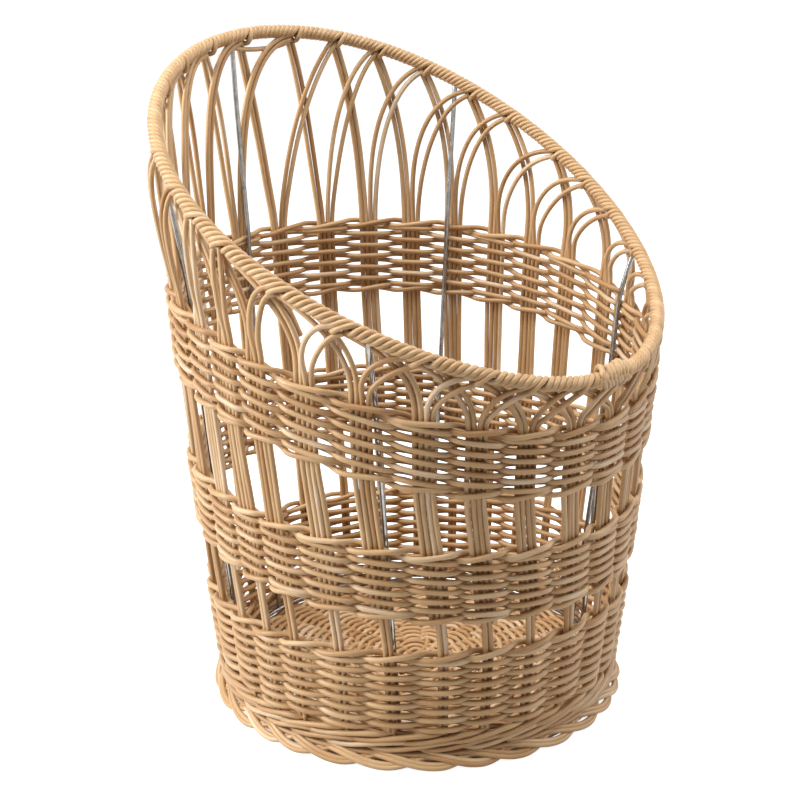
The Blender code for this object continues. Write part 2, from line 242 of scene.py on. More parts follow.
class Nodes:
    """Short calls for building the nodes of a material or of the world."""

    def __init__(self, owner, main):
        owner.use_nodes = True
        self.tree = owner.node_tree
        self.main = self.tree.nodes[main]

    def add(self, kind, **settings):
        node = self.tree.nodes.new(kind)
        for key, value in settings.items():
            setattr(node, key, value)
        return node

    def join(self, source, target):
        self.tree.links.new(source, target)

    def constant(self, socket, value):
        """A value on the main node's own socket."""
        self.main.inputs[socket].default_value = value

    def drive(self, socket, source):
        """A source for the main node's socket."""
        self.join(source, self.main.inputs[socket])

    def math(self, operation, first, second):
        node = self.add("ShaderNodeMath", operation=operation)
        for socket, value in zip(node.inputs, (first, second)):
            if isinstance(value, (int, float)):
                socket.default_value = value
            else:
                self.join(value, socket)
        return node.outputs[0]

    def vector(self, *parts):
        node = self.add("ShaderNodeCombineXYZ")
        for part, socket in zip(parts, node.inputs):
            self.join(part, socket)
        return node.outputs[0]

    def noise(self, vector, scale, detail, roughness):
        node = self.add("ShaderNodeTexNoise")
        node.inputs["Scale"].default_value = scale
        node.inputs["Detail"].default_value = detail
        node.inputs["Roughness"].default_value = roughness
        self.join(vector, node.inputs["Vector"])
        return node.outputs["Fac"]

    def ramp(self, fac, stops):
        node = self.add("ShaderNodeValToRGB")
        while len(node.color_ramp.elements) < len(stops):
            node.color_ramp.elements.new(0.5)
        for element, (position, color) in zip(node.color_ramp.elements, stops):
            element.position = position
            element.color = (*color, 1)
        self.join(fac, node.inputs["Fac"])
        return node.outputs["Color"]

    def spread(self, fac, low, high):
        """A value from low to high, where the source goes from 0 to 1."""
        node = self.add("ShaderNodeMapRange")
        node.inputs["To Min"].default_value = low
        node.inputs["To Max"].default_value = high
        self.join(fac, node.inputs["Value"])
        return node.outputs[0]

    def seen(self, other, strength):
        """A strength for what the camera, a gloss or a clear surface sees, and another for the rest."""
        rays = self.add("ShaderNodeLightPath").outputs
        most = self.math("MAXIMUM", rays["Is Camera Ray"], rays["Is Glossy Ray"])
        most = self.math("MAXIMUM", most, rays["Is Transmission Ray"])
        return self.spread(most, other, strength)


def new_material(name):
    material = bpy.data.materials.new(name)
    return material, Nodes(material, "Principled BSDF")


# Looks of the cane. First its streaks and patches: how close they are across it and along it, how
# much they and a strand's own tint count in its colour, and how far that tint shifts them
STREAKS_ACROSS = 5.0
STREAKS_ALONG = 26.0
PATCHES_ALONG = 30.0
STREAK_PART = 0.3
PATCH_PART = 0.3
TINT_PART = 0.42
TINT_SPREAD = 57.0
CANE_COLORS = (
    (0.3, (0.42, 0.22, 0.08)),
    (0.56, (0.585, 0.37, 0.178)),
    (0.8, (0.8, 0.63, 0.44)),
)
CANE_ROUGHNESS = (0.4, 0.54)
CANE_GLOSS = 0.5
CANE_SHEEN = 0.12
CANE_SHEEN_ROUGHNESS = 0.5
BUMP_STRENGTH = 0.2
BUMP_DEPTH = 0.0003

# Looks of the steel: how fine its marks are, its colours and its roughness
STEEL_MARKS = 160.0
STEEL_COLORS = ((0.3, (0.24, 0.235, 0.225)), (0.7, (0.42, 0.415, 0.4)))
STEEL_ROUGHNESS = (0.12, 0.26)


def cane_material():
    """Peeled round core cane: pale tan, with a soft gloss and fine streaks along it."""
    material, nodes = new_material("round_cane")
    grain = nodes.add("ShaderNodeAttribute", attribute_name="grain").outputs["Vector"]
    tint = nodes.add("ShaderNodeAttribute", attribute_name="tint").outputs["Fac"]
    parts = nodes.add("ShaderNodeSeparateXYZ")
    nodes.join(grain, parts.inputs[0])
    cosine, sine, along = parts.outputs
    strand = nodes.math("MULTIPLY", tint, TINT_SPREAD)
    streak_spot = nodes.vector(
        nodes.math("MULTIPLY", cosine, STREAKS_ACROSS),
        nodes.math("MULTIPLY", sine, STREAKS_ACROSS),
        nodes.math("ADD", nodes.math("MULTIPLY", along, STREAKS_ALONG), strand),
    )
    streaks = nodes.noise(streak_spot, scale=1.0, detail=4, roughness=0.6)
    patch_spot = nodes.vector(nodes.math("MULTIPLY", along, PATCHES_ALONG), strand)
    patches = nodes.noise(patch_spot, scale=1.0, detail=2, roughness=0.5)
    mixed = nodes.math(
        "ADD",
        nodes.math("MULTIPLY", streaks, STREAK_PART),
        nodes.math("MULTIPLY", patches, PATCH_PART),
    )
    mixed = nodes.math("ADD", mixed, nodes.math("MULTIPLY", tint, TINT_PART))
    nodes.drive("Base Color", nodes.ramp(mixed, CANE_COLORS))
    nodes.drive("Roughness", nodes.spread(streaks, *CANE_ROUGHNESS))
    nodes.constant("Specular IOR Level", CANE_GLOSS)
    nodes.constant("Sheen Weight", CANE_SHEEN)
    nodes.constant("Sheen Roughness", CANE_SHEEN_ROUGHNESS)
    bump = nodes.add("ShaderNodeBump")
    bump.inputs["Strength"].default_value = BUMP_STRENGTH
    bump.inputs["Distance"].default_value = BUMP_DEPTH
    nodes.join(streaks, bump.inputs["Height"])
    nodes.drive("Normal", bump.outputs[0])
    return material


def steel_material():
    """Drawn steel wire, shiny, with faint uneven marks."""
    material, nodes = new_material("bright_wire")
    spot = nodes.add("ShaderNodeTexCoord").outputs["Object"]
    marks = nodes.noise(spot, scale=STEEL_MARKS, detail=3, roughness=0.6)
    nodes.drive("Base Color", nodes.ramp(marks, STEEL_COLORS))
    nodes.drive("Roughness", nodes.spread(marks, *STEEL_ROUGHNESS))
    nodes.constant("Metallic", 1)
    return material


LOOKS = {"cane": cane_material(), "steel": steel_material()}

# A cut end narrows in two rings: how far each stands beyond the end, and its radius, both in
# radii of the cane
END_RINGS = ((0.22, 0.86), (0.34, 0.55))


class Strands:
    """Round canes or wires swept along paths, gathered into one mesh."""

    def __init__(self):
        self.points = []
        self.quads = []
        self.caps = []
        self.tints = []
        self.grains = []
        self.count = 0

    def sweep(self, path, facing, radius, tint, closed=False, sides=CANE_SIDES):
        """A tube along a path. Its corners are counted from the side away from facing."""
        if closed:
            radii = np.full(len(path), radius)
            ahead = unit(np.roll(path, -1, 0) - np.roll(path, 1, 0))
        else:
            path, facing, radii = self.round_ends(path, facing, radius)
            ahead = unit(np.gradient(path, axis=0))
        facing = unit(facing - ahead * np.sum(facing * ahead, -1, keepdims=True))
        across = np.cross(ahead, facing)
        around = TURN * np.arange(sides) / sides + math.pi
        cosine = np.cos(around)
        sine = np.sin(around)
        ring = cosine[None, :, None] * facing[:, None] + sine[None, :, None] * across[:, None]
        points = path[:, None] + ring * radii[:, None, None]
        steps = np.linalg.norm(np.diff(path, axis=0), axis=-1)
        grain = np.empty((len(path), sides, 3))
        grain[..., 0] = cosine
        grain[..., 1] = sine
        grain[..., 2] = np.concatenate([[0], np.cumsum(steps)])[:, None]
        rows = np.arange(len(path) if closed else len(path) - 1)[:, None]
        here = rows * sides
        there = (rows + 1) % len(path) * sides
        side = np.arange(sides)[None]
        after = (side + 1) % sides
        quads = np.stack([here + side, here + after, there + after, there + side], -1)
        self.points.append(points.reshape(-1, 3))
        self.quads.append(quads.reshape(-1, 4) + self.count)
        if not closed:
            first = np.arange(sides)
            self.caps.append(first[::-1] + self.count)
            self.caps.append(first + (len(path) - 1) * sides + self.count)
        self.tints.append(np.full(len(path) * sides, tint))
        self.grains.append(grain.reshape(-1, 3))
        self.count += len(path) * sides

    def round_ends(self, path, facing, radius):
        """Adds the shrinking rings at both ends of a path."""
        start = unit(path[0] - path[1])
        finish = unit(path[-1] - path[-2])
        before = [path[0] + start * radius * push for push, _ in END_RINGS[::-1]]
        behind = [path[-1] + finish * radius * push for push, _ in END_RINGS]
        narrow = [radius * shrink for _, shrink in END_RINGS]
        radii = np.array(narrow[::-1] + [radius] * len(path) + narrow)
        facing = np.concatenate([facing[:1], facing[:1], facing, facing[-1:], facing[-1:]])
        return np.concatenate([before, path, behind]), facing, radii

    def level_ring(self, ring_radius, height, radius, tint, sides=CANE_SIDES):
        """A closed strand that lies level round the basket's axis."""
        angle = TURN * np.arange(RING_POINTS) / RING_POINTS
        path = place(angle, ring_radius, height)
        self.sweep(path, outward(angle), radius, tint, closed=True, sides=sides)

    def make(self, name, slot, *nodes):
        """The piece of the scene that takes the place of the given nodes."""
        points = np.concatenate(self.points)
        quads = np.concatenate(self.quads)
        loops = np.concatenate([quads.reshape(-1)] + self.caps)
        sizes = np.concatenate([np.full(len(quads), 4), [len(cap) for cap in self.caps]]).astype(int)
        mesh = bpy.data.meshes.new(name)
        mesh.vertices.add(len(points))
        mesh.vertices.foreach_set("co", points.reshape(-1))
        mesh.loops.add(len(loops))
        mesh.loops.foreach_set("vertex_index", loops.astype(np.int32))
        mesh.polygons.add(len(sizes))
        mesh.polygons.foreach_set("loop_start", (np.cumsum(sizes) - sizes).astype(np.int32))
        mesh.update(calc_edges=True)
        mesh.validate()
        mesh.shade_smooth()
        tint = mesh.attributes.new("tint", "FLOAT", "POINT")
        tint.data.foreach_set("value", np.concatenate(self.tints).astype(np.float32))
        grain = mesh.attributes.new("grain", "FLOAT_VECTOR", "POINT")
        grain.data.foreach_set("vector", np.concatenate(self.grains).reshape(-1).astype(np.float32))
        mesh.materials.append(LOOKS[slot])
        piece = bpy.data.objects.new(name, mesh)
        bpy.context.collection.objects.link(piece)
        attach(piece, "root")
        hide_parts(*nodes)


# The tint of a strand, from 0 to 1: its mean and how far strands differ
TINT = 0.5
TINT_RANGE = 0.22


def random_tint(chance):
    return float(np.clip(chance.normal(TINT, TINT_RANGE), 0, 1))


# How uneven the rows are, each with its fewest and most waves round the basket: the change of the
# swing in and out, as a share of it, and the strays outward and upward, in metres
SWING_CHANGE = 0.07
SWING_WAVES = (3, 40)
ROW_STRAY = 0.0003
STRAY_WAVES = (8, 30)
ROW_RISE = 0.00045
RISE_WAVES = (2, 24)
CROSSING_RISE = 0.0004
CROSSING_WAVES = (2, 20)

# Thickness of the canes in rows, in canes: of plain ones in the upper two bands and in the lower
# one, by how much these differ, and of crossing ones
PLAIN_THICKNESS = 1.03
LOWER_THICKNESS = 1.1
THICKNESS_RANGE = 0.09
CROSSING_THICKNESS = 1.08

# Crossing canes: how far a pair swings in and out, in canes, how far a pair and the three of a
# waling climb and fall, and how much the three keep to the outside
PAIR_SWING = 1.04
PAIR_CLIMB = 0.0024
WALING_CLIMB = 0.0034
WALING_BIAS = 0.5


def row_spots(heights, count):
    """Places along a row: their count of bundles from the first one, angles and heights."""
    index = BUNDLES * np.arange(count) / count
    angle = table_angle(BUNDLE_PLACES, index)
    # The angle leans with the height and the height changes with the angle, so this is repeated
    for _ in range(2):
        angle = bundle_angle(index, heights(angle))
    return index, angle, heights(angle)


def plain_row(strands, heights, phase, grip, thickness, chance):
    """One cane in front of every second bundle and behind the others."""
    index, angle, height = row_spots(heights, PLAIN_POINTS)
    out = CANE * flattened(np.cos((index + phase) * math.pi), grip)
    out = out * (1 + SWING_CHANGE * wobble(angle, chance, *SWING_WAVES))
    out = out + ROW_STRAY * wobble(angle, chance, *STRAY_WAVES)
    height = height + ROW_RISE * wobble(angle, chance, *RISE_WAVES)
    radius = RADIUS * (thickness + chance.uniform(0, THICKNESS_RANGE))
    path = on_wall(angle, height, out)
    strands.sweep(path, outward(angle), radius, random_tint(chance), closed=True)


def crossing_row(strands, heights, canes, swing, bias, climb, grip, chance, start=0):
    """A row of two or three canes that cross each other between bundles."""
    index, angle, level = row_spots(heights, CROSSING_POINTS)
    for number in range(canes):
        turn = (index + number + start) * TURN / canes
        out = swing * CANE * flattened(np.cos(turn) + bias, grip)
        stray = CROSSING_RISE * wobble(angle, chance, *CROSSING_WAVES)
        path = on_wall(angle, level + climb * np.sin(turn) + stray, out)
        radius = RADIUS * CROSSING_THICKNESS
        strands.sweep(path, outward(angle), radius, random_tint(chance), closed=True)


def twined_row(strands, heights, grip, chance):
    """A pair of canes that change places between bundles."""
    crossing_row(strands, heights, 2, PAIR_SWING, 0, PAIR_CLIMB, grip, chance)


def waled_row(strands, heights, grip, chance, start):
    """Three canes, each in front of two bundles and behind the third."""
    crossing_row(strands, heights, 3, 1, WALING_BIAS, WALING_CLIMB, grip, chance, start)


def between(bottom, top, low, high, share):
    """The height of a row at a share of the way between two tilted edges, inset from each."""
    def heights(angle):
        floor = edge_height(bottom, angle) + low
        ceiling = edge_height(top, angle) - high
        return floor + (ceiling - floor) * share
    return heights


# How far the first and last plain rows and the twined rows lie inside a band's edges. Then the
# rows of waling in the lower band: how high each lies and how far round it starts
MIDDLE_INSETS = (0.0072, 0.0072)
UPPER_INSETS = (0.0073, 0.0073)
LOWER_INSETS = (0.0205, 0.0072)
EDGE_INSET = 0.0031
WALINGS = ((0.0128, 0), (0.0062, 0.5))

# Rows in each band, and how sharply their canes bend between the uprights
MIDDLE_ROWS = 12
UPPER_ROWS = 11
LOWER_ROWS = 15
TIGHT_GRIP = 2.2
WALING_GRIP = 1.8
LOWER_EDGE_GRIP = 1.2
LOWER_GRIP = 0.9


def plain_rows(strands, bottom, top, insets, rows, grip, thickness, chance):
    for row in range(rows):
        heights = between(bottom, top, *insets, row / (rows - 1))
        plain_row(strands, heights, (rows - 1 - row) % 2, grip, thickness, chance)


def make_bands():
    for name, seed, bottom, top, rows, insets in (
        ("middle", MIDDLE_SEED, MIDDLE_BOTTOM, MIDDLE_TOP, MIDDLE_ROWS, MIDDLE_INSETS),
        ("upper", UPPER_SEED, UPPER_BOTTOM, UPPER_TOP, UPPER_ROWS, UPPER_INSETS),
    ):
        chance = np.random.default_rng(seed)
        strands = Strands()
        plain_rows(strands, bottom, top, insets, rows, TIGHT_GRIP, PLAIN_THICKNESS, chance)
        for share in (0, 1):
            heights = between(bottom, top, EDGE_INSET, EDGE_INSET, share)
            twined_row(strands, heights, TIGHT_GRIP, chance)
        strands.make(f"{name}_weave", "cane", f"{name}_band")
    chance = np.random.default_rng(LOWER_SEED)
    strands = Strands()
    bottom = (BAND_START,) * 3
    top = (LOWER_TOP,) * 3
    plain_rows(strands, bottom, top, LOWER_INSETS, LOWER_ROWS, LOWER_GRIP, LOWER_THICKNESS, chance)
    twined_row(strands, between(bottom, top, 0, EDGE_INSET, 1), LOWER_EDGE_GRIP, chance)
    for rise, start in WALINGS:
        waled_row(strands, between(bottom, top, rise, 0, 0), WALING_GRIP, chance, start)
    strands.make("lower_weave", "cane", "lower_band")


# Points along an upright and along an arch
UPRIGHT_POINTS = 36
ARCH_POINTS = 26

# Uprights: how high above the upper band a bundle parts, how high in the middle band its outer
# canes start and by how much lower some do, and how far they stray sideways and outward, in
# waves of so many radians
COLLAR = 0.005
BYE_START = 0.004
BYE_RANGE = 0.008
SIDE_STRAY = 0.0003
SIDE_RADIANS = (6, 11)
OUT_STRAY = 0.0005
OUT_RADIANS = 9

# An arch's two middle handles, each as a share of the way to the knot and of the rise: under a
# level rim, where the rim rises and where it falls. There the far one's height changes round the
# basket. Left and right are as seen from outside
LEVEL_HANDLES = ((0.24, 0.34), (0.7, 0.8))
RISING_HANDLES = ((0.03, 0.42), (0.3, 0.7))
FALLING_NEAR = (0, 0.56)
FALLING_FAR = 0.36
PEAK_CHANGE = 0.06
PEAK_LEAST_AT = math.radians(30)

# The slope of the rim at which an arch is fully bent, and the angles between which those to the
# left are fully bent all the same
FULL_SLOPE = 0.38
BENT_FROM = math.radians(92)
BENT_TO = math.radians(150)

# How far the handles stray, and how much less they do where an arch is bent
HANDLE_STRAY = ((0.09, 0.05), (0.09, 0.02))
STRAY_LOSS = 0.6

# Arches to the right lie outside those to the left: how far from the wall's middle, within what
# share of their way they get there, and how much nearer to it they end
LAYER = 0.0028
LAYER_SHARE = 0.14
LAYER_LOSS = 0.6

# Some arches to the right swell outward: how far, round which angle and within what reach
SWELL = 0.006
SWELL_AT = math.radians(152)
SWELL_REACH = math.radians(14)

# How far the two canes of an arch open in its middle, in radii: where the rim falls by more than
# this height on the way to the next bundle, and elsewhere
FALL = 0.004
FALLING_FAN = (0.5, 2.2)
LEVEL_FAN = (-0.15, 0.6)

SMOOTHINGS = 5
STAKE_THICKNESS = (1.0, 1.06)

# Three short canes that start at a bundle's arches: a cross piece under the rim and two cut ends
# inside the wall. Their angles in degrees, heights and places across the wall
LOOSE_ENDS = {
    7: ((96, 0.5105, 0), (92, 0.5065, 0), (86, 0.505, 0), (80, 0.5065, 0), (77, 0.511, 0)),
    16: ((194.6, 0.374, -0.004), (196.2, 0.362, -0.006), (198.6, 0.343, -0.007)),
    22: ((274.5, 0.224, -0.006), (276.0, 0.212, -0.0075), (277.4, 0.203, -0.0085)),
}
LOOSE_POINTS = 12
LOOSE_TINT = 0.6


def rim_fall(middle, hand):
    """How much lower the rim is over the next bundle on one hand."""
    return rim_height(middle) - rim_height(middle + hand * PITCH)


def arch_handles(middle, hand, start, knot):
    """Handles of an arch: the share of the way to its knot, and the height."""
    rise = rim_height(knot) - HOOP / 2 - RADIUS - start
    slope = rim_fall(middle, hand) / (RIM_BACK - RIM_FRONT) * BUNDLES / TURN
    falling = slope > 0
    share = min(abs(slope) / FULL_SLOPE, 1)
    if hand < 0 and BENT_FROM < middle < BENT_TO:
        falling = True
        share = 1
    peak = 1 - PEAK_CHANGE * math.cos(middle - PEAK_LEAST_AT)
    bent = np.array((FALLING_NEAR, (FALLING_FAR, peak)) if falling else RISING_HANDLES)
    level = np.array(LEVEL_HANDLES)
    chance = np.random.default_rng(int(1000 * middle) + ARCH_SEED + hand)
    stray = chance.uniform(-1, 1, (2, 2)) * HANDLE_STRAY * (1 - STRAY_LOSS * share)
    (near, low), (far, high) = level + (bent - level) * share + stray
    return (0, start), (near, start + low * rise), (far, start + high * rise), (1, start + rise)


def upright(number, offset, start, collar, chance):
    """The angles and the path of a cane in its bundle, up to where the bundle parts."""
    height = np.linspace(start, collar, UPRIGHT_POINTS)
    share = (height - start) / (collar - start)
    fade = np.sin(math.pi * share)
    stray = SIDE_STRAY * np.sin(share * chance.uniform(*SIDE_RADIANS) + chance.uniform(0, TURN)) * fade
    angle = bundle_angle(number, height) + (offset + stray) / middle_radius(height)
    out = OUT_STRAY * np.sin(share * OUT_RADIANS + chance.uniform(0, TURN)) * fade
    return angle, on_wall(angle, height, out)


def arch(number, hand, side, collar, chance):
    """The angles and the path of a cane from where its bundle parts to the knot over a neighbour."""
    middle = table_angle(BUNDLE_PLACES, number)
    knot = table_angle(KNOT_PLACES, number + hand)
    handles = arch_handles(middle, hand, collar, knot)
    aside = hand * CANE / middle_radius(collar)
    share = np.linspace(0, 1, ARCH_POINTS)[1:]
    along, height = curve_point(handles, share).T
    angle = middle + aside * (1 - share) + (knot - middle) * along
    out = np.minimum(share / LAYER_SHARE, 1) * LAYER * hand * (1 - LAYER_LOSS * share ** 3)
    if hand > 0:
        swell = SWELL * np.exp(-((angle - SWELL_AT) / SWELL_REACH) ** 2)
        out = out + swell * np.sin(math.pi * share) ** 2
    path = on_wall(angle, height, out)
    ahead = unit(np.gradient(path, axis=0))
    across = unit(np.cross(ahead, outward(angle)))
    fan = chance.uniform(*(FALLING_FAN if rim_fall(middle, hand) > FALL else LEVEL_FAN))
    apart = side * RADIUS * (1 + fan * np.sin(math.pi * share))
    return angle, path + across * apart[:, None]


def stake(strands, number, cane_number, chance):
    """One of a bundle's four canes, from the foot or the middle band up to its knot."""
    middle = table_angle(BUNDLE_PLACES, number)
    collar = edge_height(UPPER_TOP, middle) + COLLAR
    hand = -1 if cane_number < BUNDLE_CANES / 2 else 1
    start = BAND_START
    side = -hand
    if cane_number in (0, BUNDLE_CANES - 1):
        start = edge_height(MIDDLE_BOTTOM, middle) + BYE_START - chance.uniform(0, BYE_RANGE)
        side = hand
    offset = (cane_number - (BUNDLE_CANES - 1) / 2) * CANE
    low_angle, low_path = upright(number, offset, start, collar, chance)
    high_angle, high_path = arch(number, hand, side, collar, chance)
    path = np.concatenate([low_path, high_path])
    for _ in range(SMOOTHINGS):
        path[1:-1] = (path[:-2] + 2 * path[1:-1] + path[2:]) / 4
    facing = outward(np.concatenate([low_angle, high_angle]))
    strands.sweep(path, facing, RADIUS * chance.uniform(*STAKE_THICKNESS), random_tint(chance))


def loose_end(strands, spots):
    points = [on_wall(math.radians(degrees), height, out) for degrees, height, out in spots]
    facing = outward(np.full(LOOSE_POINTS, math.radians(spots[0][0])))
    strands.sweep(smooth_path(points, LOOSE_POINTS), facing, RADIUS, LOOSE_TINT)


def make_stakes():
    for number in range(BUNDLES):
        chance = np.random.default_rng(STAKE_SEED + number)
        strands = Strands()
        for cane_number in range(BUNDLE_CANES):
            stake(strands, number, cane_number, chance)
        if number in LOOSE_ENDS:
            loose_end(strands, LOOSE_ENDS[number])
        strands.make(f"stakes_{number + 1:02d}", "cane", f"stake_bundle_{number + 1:02d}")


# The winding of the rim: its canes side by side, the points in a turn, the samples of the rim's
# length, how much rim one cane takes and how that changes round it, and how much one turn of all
# takes. Then a cane's thickness, how uneven it lies and how far it is pressed in, and its tint
WINDERS = 4
TURN_POINTS = 20
RIM_SAMPLES = 2001
CANE_WIDTH = 0.0051
WIDTH_CHANGE = 0.0008
WIDEST_AT = math.radians(205)
LEAD = 0.0205
WOUND_THICKNESS = 1.04
WOUND_STRAY = 0.00012
WOUND_WAVES = (5, 60)
WOUND_SEAT = 0.0006
WOUND_TINT_RANGE = 0.3

# The place round the hoop that faces down
UNDER = -TURN / 4

# Where arches end, the turns part: by how much, and within what length of rim. The cane before
# that place is slung low: how far, how sharply along the rim, and over how many radians round it
PARTING = 0.0029
PARTING_REACH = 0.012
SLING = 0.0042
SLING_SHARPNESS = 10
SLING_WIDTH = 0.9

# The knot's loops on the rim: where each starts in degrees, its turns, and how far it stands off.
# Then the points in a turn, where a loop starts round the hoop, how far it goes on in a turn and
# how far it swings to and fro, in degrees, where round the hoop it is furthest back, how full it
# is and how far it is pressed in
KNOT_LOOPS = ((269.5, 1.35, 0.0068), (272.0, 2.6, 0.005), (275.6, 2.6, 0.006))
LOOP_POINTS = 24
LOOP_START = -2.2
LOOP_ADVANCE = 1.36
LOOP_SWING = 1.8
LOOP_BACK_AT = 0.6
LOOP_FULLNESS = 0.8
LOOP_SEAT = 0.0005


def rim_frame(angle):
    """The rim's centre line, and its outward and upward directions."""
    center = place(angle, rim_radius(angle), rim_height(angle))
    step = 1e-4
    ahead = unit(
        place(angle + step, rim_radius(angle + step), rim_height(angle + step))
        - place(angle - step, rim_radius(angle - step), rim_height(angle - step))
    )
    out = outward(angle)
    out = unit(out - ahead * np.sum(out * ahead, -1, keepdims=True))
    return center, out, np.cross(out, ahead)


def wind(strands, angle, around, extra, tint, closed=False):
    """A cane round the hoop, from its angles round the basket and round the hoop."""
    center, out, up = rim_frame(angle)
    away = np.cos(around)[:, None] * out + np.sin(around)[:, None] * up
    path = center + away * (HOOP / 2 + RADIUS + extra)[:, None]
    strands.sweep(path, away, RADIUS * WOUND_THICKNESS, tint, closed=closed)


def make_rim():
    """Canes wound side by side round the hoop, parted where arches end, with a knot over them."""
    chance = np.random.default_rng(RIM_SEED)
    strands = Strands()
    dense = np.linspace(0, TURN, RIM_SAMPLES)
    length = np.linalg.norm(np.diff(rim_frame(dense)[0], axis=0), axis=-1)
    width = CANE_WIDTH + WIDTH_CHANGE * np.cos(dense[1:] - WIDEST_AT)
    wound = np.concatenate([[0], np.cumsum(length / width / WINDERS)])
    turns = round(wound[-1])
    wound *= turns / wound[-1]
    # Each knot is brought midway between two canes that pass under the hoop
    knots = np.interp(np.radians(KNOT_PLACES) % TURN, dense, wound)
    base = UNDER / TURN - 0.5 / WINDERS
    knots = base + np.round((knots - base) * WINDERS) / WINDERS
    for start in range(WINDERS):
        turn = np.arange(turns * TURN_POINTS) / TURN_POINTS
        around = TURN * (turn + start / WINDERS)
        low = nearest(around - UNDER, TURN)
        moved = np.zeros(len(turn))
        extra = WOUND_STRAY * wobble(TURN * turn / turns, chance, *WOUND_WAVES) - WOUND_SEAT
        for knot in knots:
            beside = nearest(turn - knot - low / TURN, turns)
            part = np.sign(beside) * np.exp(-np.abs(beside) * LEAD / PARTING_REACH)
            moved += PARTING / LEAD * part * np.cos(low / 2) ** 2
            near = ((beside + 0.5 / WINDERS) * SLING_SHARPNESS) ** 2
            extra = extra + SLING * np.exp(-near - (low / SLING_WIDTH) ** 2)
        angle = np.interp((turn + moved) % turns, wound, dense)
        tint = TINT + WOUND_TINT_RANGE * (random_tint(chance) - TINT)
        wind(strands, angle, around, extra, tint, closed=True)
    for first, wraps, height in KNOT_LOOPS:
        turn = np.linspace(0, wraps, int(wraps * LOOP_POINTS))
        around = TURN * turn + LOOP_START
        swing = LOOP_SWING * np.cos(around - LOOP_BACK_AT)
        angle = np.radians(first + LOOP_ADVANCE * turn - swing)
        extra = height * ((1 - np.cos(around)) / 2) ** LOOP_FULLNESS - LOOP_SEAT
        wind(strands, angle, around, extra, LOOSE_TINT)
    strands.make("rim_winding", "cane", *[f"rim_wrap_{number}" for number in range(1, RODS + 1)])


# Points along a rod, and how late it bends inward from the wall to the hoop
ROD_POINTS = 60
ROD_BEND = 1.5


def make_wire():
    """The ring on the floor, and the rods, which lean a little less than their nodes do."""
    strands = Strands()
    inside = min(wall_radius(RING_HEIGHT) - WALL, FOOT_RADIUS - FOOT_WIDTH)
    strands.level_ring(inside - GAP - WIRE / 2, RING_HEIGHT, WIRE / 2, TINT, WIRE_SIDES)
    strands.make("base_wire", "steel", "base_ring")
    foot = RING_HEIGHT + WIRE / 2 + GAP
    for number in range(RODS):
        top = FIRST_ROD + TURN * number / RODS
        rim = rim_height(top)
        knee = rim - ROD_KNEE
        end = rim - HOOP / 2
        free = edge_height(UPPER_TOP, top)
        height = np.linspace(foot, end, ROD_POINTS)
        angle = top + ROD_LEAN * np.maximum(knee - height, 0) / (knee - foot)
        inner = wall_radius(height) - WALL - GAP - WIRE / 2
        share = np.clip((height - free) / (end - free), 0, 1) ** ROD_BEND
        path = place(angle, inner + (rim_radius(top) - inner) * share, height)
        strands = Strands()
        facing = np.broadcast_to(outward(np.array(top)), path.shape)
        strands.sweep(path, facing, WIRE / 2, TINT, sides=WIRE_SIDES)
        strands.make(f"wire_rod_{number + 1}", "steel", f"frame_rod_{number + 1}")


# The way of a pair of canes in the foot: bundles passed, inset and height
FOOT_TRACK = (
    (-0.4, 0.0090, 0.0098),
    (-0.1, 0.0060, 0.0088),
    (0.25, 0.0034, 0.0060),
    (0.6, 0.0022, 0.0032),
    (0.95, 0.0022, 0.0023),
    (1.25, 0.0042, 0.0038),
    (1.5, 0.0072, 0.0066),
    (1.7, 0.0095, 0.0085),
)
FOOT_POINTS = 32
FOOT_THICKNESS = 0.98

# How far outside the foot's radius the insets are counted from, and how the second cane of a pair
# lies: further in, and higher by a distance that shrinks on the way
FOOT_OUTSIDE = 0.003
PAIR_INSET = 0.002
PAIR_RISE = 0.0026
PAIR_RISE_LOSS = 0.25

# Rings of cane inside the foot: their height and inset
FOOT_RINGS = ((0.0024, 0.0106), (0.0066, 0.0082), (0.0106, 0.0058), (0.0104, 0.01))


def make_foot():
    """Pairs of canes that run outside the wall, down round the foot, and under the next pair."""
    chance = np.random.default_rng(FOOT_SEED)
    strands = Strands()
    for number in range(BUNDLES):
        for layer in (0, 1):
            points = []
            for passed, inset, height in FOOT_TRACK:
                angle = bundle_angle((number + passed) % BUNDLES, 0.0)
                radius = FOOT_RADIUS + FOOT_OUTSIDE - inset - layer * PAIR_INSET
                rise = layer * PAIR_RISE * (1 - PAIR_RISE_LOSS * passed)
                points.append(place(angle, radius, height + rise))
            path = smooth_path(points, FOOT_POINTS)
            facing = unit(path * (1, 1, 0) - (0, AXIS_Y, 0))
            strands.sweep(path, facing, RADIUS * FOOT_THICKNESS, random_tint(chance))
    for height, inset in FOOT_RINGS:
        strands.level_ring(FOOT_RADIUS - inset, height, RADIUS, random_tint(chance))
    strands.make("foot_braid", "cane", "foot_border")


# The floor's sticks: how far from its middle they start, how much further every second one does,
# how far from the edge they end, and how much lower the sticks between them lie
STICK_START = 0.034
STICK_STEP = 0.03
STICK_END = 0.002
STICK_DROP = 0.0012
STICK_POINTS = 12

# The cross in the middle of the floor: its canes each way, how far they reach, their spacing in
# canes, where and how much they splay, and how flat they lie
CROSS_CANES = 4
CROSS_REACH = 0.036
CROSS_SPACING = 1.02
SPLAY_AT = 0.02
SPLAY = 0.5
CROSS_FLATNESS = 0.95
CROSS_POINTS = 14

